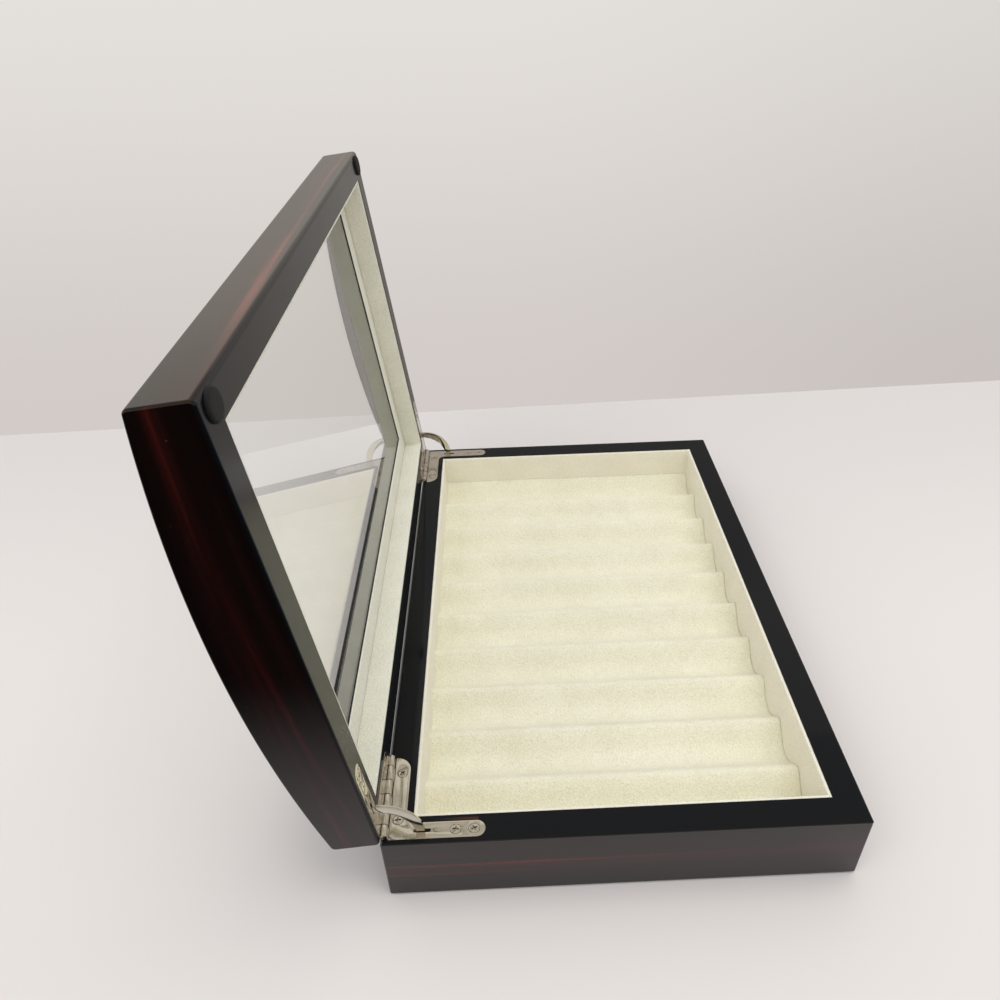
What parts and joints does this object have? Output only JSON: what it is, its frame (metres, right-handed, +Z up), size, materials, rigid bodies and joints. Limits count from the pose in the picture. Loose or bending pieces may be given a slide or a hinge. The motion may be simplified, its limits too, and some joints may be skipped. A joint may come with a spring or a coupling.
{
  "type": "pen display case",
  "caption": "Hinged wooden pen display case with a suede-lined trough tray, an arched glass-topped lid and quadrant hinges with curved stays.",
  "frame": {"origin": "centre of the case's underside, on the surface that it stands on", "axes": "+X along the case's long side, +Y towards the hinged rear, +Z up; the lid is open on its stop"},
  "size_m": [0.314, 0.2432, 0.2348],
  "materials": {
    "case_wood": "high-gloss dark striped ebony veneer with black lacquered rims",
    "suede": "ivory fine-napped suede cloth",
    "floor_board": "plain fibreboard",
    "felt": "black felt",
    "glass": "clear polished",
    "bumper": "smooth dark rubber",
    "hinge_leaf": "polished nickel plate",
    "stay": "polished nickel plate",
    "hinge_pin": "nickel plate",
    "screw": "nickel plate"
  },
  "bodies": {
    "base": {"base_front_wall": "case_wood", "base_rear_wall": "case_wood", "base_left_wall": "case_wood", "base_right_wall": "case_wood", "base_floor": "floor_board", "base_felt": "felt", "base_lining_front": "suede", "base_lining_rear": "suede", "base_lining_left": "suede", "base_lining_right": "suede", "pen_tray": "suede", "base_hinge_leaf_left": "hinge_leaf", "base_hinge_leaf_right": "hinge_leaf", "base_hinge_screws_left": "screw", "base_hinge_screws_right": "screw", "hinge_pin_left": "hinge_pin", "hinge_pin_right": "hinge_pin"},
    "lid": {"lid_front_rail": "case_wood", "lid_rear_rail": "case_wood", "lid_left_rail": "case_wood", "lid_right_rail": "case_wood", "glass_pane": "glass", "lid_ledge_lining": "suede", "lid_lining_front": "suede", "lid_lining_rear": "suede", "lid_lining_left": "suede", "lid_lining_right": "suede", "lid_bumpers": "bumper", "lid_hinge_leaf_left": "hinge_leaf", "lid_hinge_leaf_right": "hinge_leaf", "lid_hinge_screws_left": "screw", "lid_hinge_screws_right": "screw"},
    "stay_left": {"stay_left": "stay"},
    "stay_right": {"stay_right": "stay"}
  },
  "joints": [
    {"name": "lid_hinge", "type": "hinge", "parent": "base", "child": "lid", "pos_m": [0, 0.0989, 0.0373], "axis": [1, 0, 0], "range_deg": [0, 96.4]},
    {"name": "stay_left_swing", "type": "hinge", "parent": "base", "child": "stay_left", "pos_m": [0, 0.0989, 0.0373], "axis": [1, 0, 0], "range_deg": [0, 48.2]},
    {"name": "stay_right_swing", "type": "hinge", "parent": "base", "child": "stay_right", "pos_m": [0, 0.0989, 0.0373], "axis": [1, 0, 0], "range_deg": [0, 48.2]}
  ],
  "couplings": [
    {"joint": "stay_left_swing", "follows": "lid_hinge", "ratio": 0.5},
    {"joint": "stay_right_swing", "follows": "lid_hinge", "ratio": 0.5}
  ]
}
